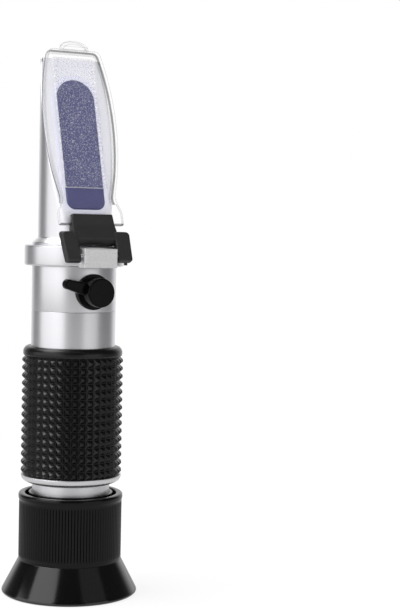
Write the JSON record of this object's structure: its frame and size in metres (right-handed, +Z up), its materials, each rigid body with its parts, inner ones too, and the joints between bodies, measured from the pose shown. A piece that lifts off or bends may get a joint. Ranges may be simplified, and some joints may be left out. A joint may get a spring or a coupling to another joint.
{
  "type": "hand-held refractometer",
  "caption": "Hand-held refractometer standing on its eyecup: sloped prism head with a hinged clear cover, studded grip and a turning focus ring.",
  "frame": {"origin": "centre of the eyecup's rim, on the tube axis, where the part stands", "axes": "+Z up the tube from the eyecup to the prism head; the sloped prism face, hinge and screw cap look towards -Y; +X to the right seen from the front"},
  "size_m": [0.04, 0.04, 0.1629],
  "materials": {
    "bright_aluminium": "turned satin aluminium, clear anodised",
    "blackened_aluminium": "black anodised, matte",
    "black_rubber": "satin moulded rubber",
    "black_plastic": "satin moulded plastic",
    "clear_plastic": "clear acrylic with a frosted pad",
    "steel": "turned steel",
    "prism_glass": "blue-violet optical glass, polished",
    "lens_glass": "polished optical glass",
    "pale_cement": "smooth pale sealing cement",
    "strip_metal": "rolled bimetal strip"
  },
  "bodies": {
    "root": {"prism_head": "bright_aluminium", "collar_ring": "bright_aluminium", "hinge_block": "bright_aluminium", "upper_tube": "bright_aluminium", "main_tube": "bright_aluminium", "end_ring": "bright_aluminium", "focus_neck": "bright_aluminium", "grip_sleeve": "black_rubber", "guide_screw": "steel", "prism": "prism_glass", "prism_seal": "pale_cement", "objective_lens": "lens_glass", "reticle": "lens_glass", "objective_cell": "blackened_aluminium", "objective_retainer": "blackened_aluminium", "light_baffle": "blackened_aluminium", "reticle_holder": "blackened_aluminium", "reticle_retainer": "blackened_aluminium", "strip_anchor": "blackened_aluminium", "bimetal_strip": "strip_metal", "calibration_bush": "bright_aluminium"},
    "cover": {"cover_plate": "clear_plastic", "hinge_clamp": "black_plastic", "hinge_pin": "steel"},
    "calibration": {"calibration_screw": "steel"},
    "cap": {"screw_cap": "black_rubber"},
    "eyepiece": {"eyepiece_barrel": "blackened_aluminium", "eye_lens": "lens_glass", "eye_lens_retainer": "blackened_aluminium", "lens_spacer": "blackened_aluminium", "field_lens": "lens_glass"},
    "focus": {"focus_ring": "black_plastic", "eyecup": "black_rubber", "snap_ring": "steel"}
  },
  "joints": [
    {"name": "cover_hinge", "type": "hinge", "parent": "root", "child": "cover", "pos_m": [0, -0.0156, 0.1002], "axis": [1, 0, 0], "range_deg": [0, 120]},
    {"name": "calibration_turn", "type": "hinge", "parent": "root", "child": "calibration", "pos_m": [0, -0.014, 0.0898], "axis": [0, -1, 0], "range_deg": [-180, 180]},
    {"name": "cap_pull", "type": "slide", "parent": "root", "child": "cap", "axis": [0, -1, 0], "range_m": [0, 0.006]},
    {"name": "focus_travel", "type": "slide", "parent": "root", "child": "eyepiece", "axis": [0, 0, 1], "range_m": [-0.003, 0.0026]},
    {"name": "focus_turn", "type": "hinge", "parent": "eyepiece", "child": "focus", "pos_m": [0, 0, 0.02], "axis": [0, 0, 1], "range_deg": [-89, 77]}
  ],
  "couplings": [
    {"joint": "focus_travel", "follows": "focus_turn", "m_per_rad": 0.0019099}
  ]
}
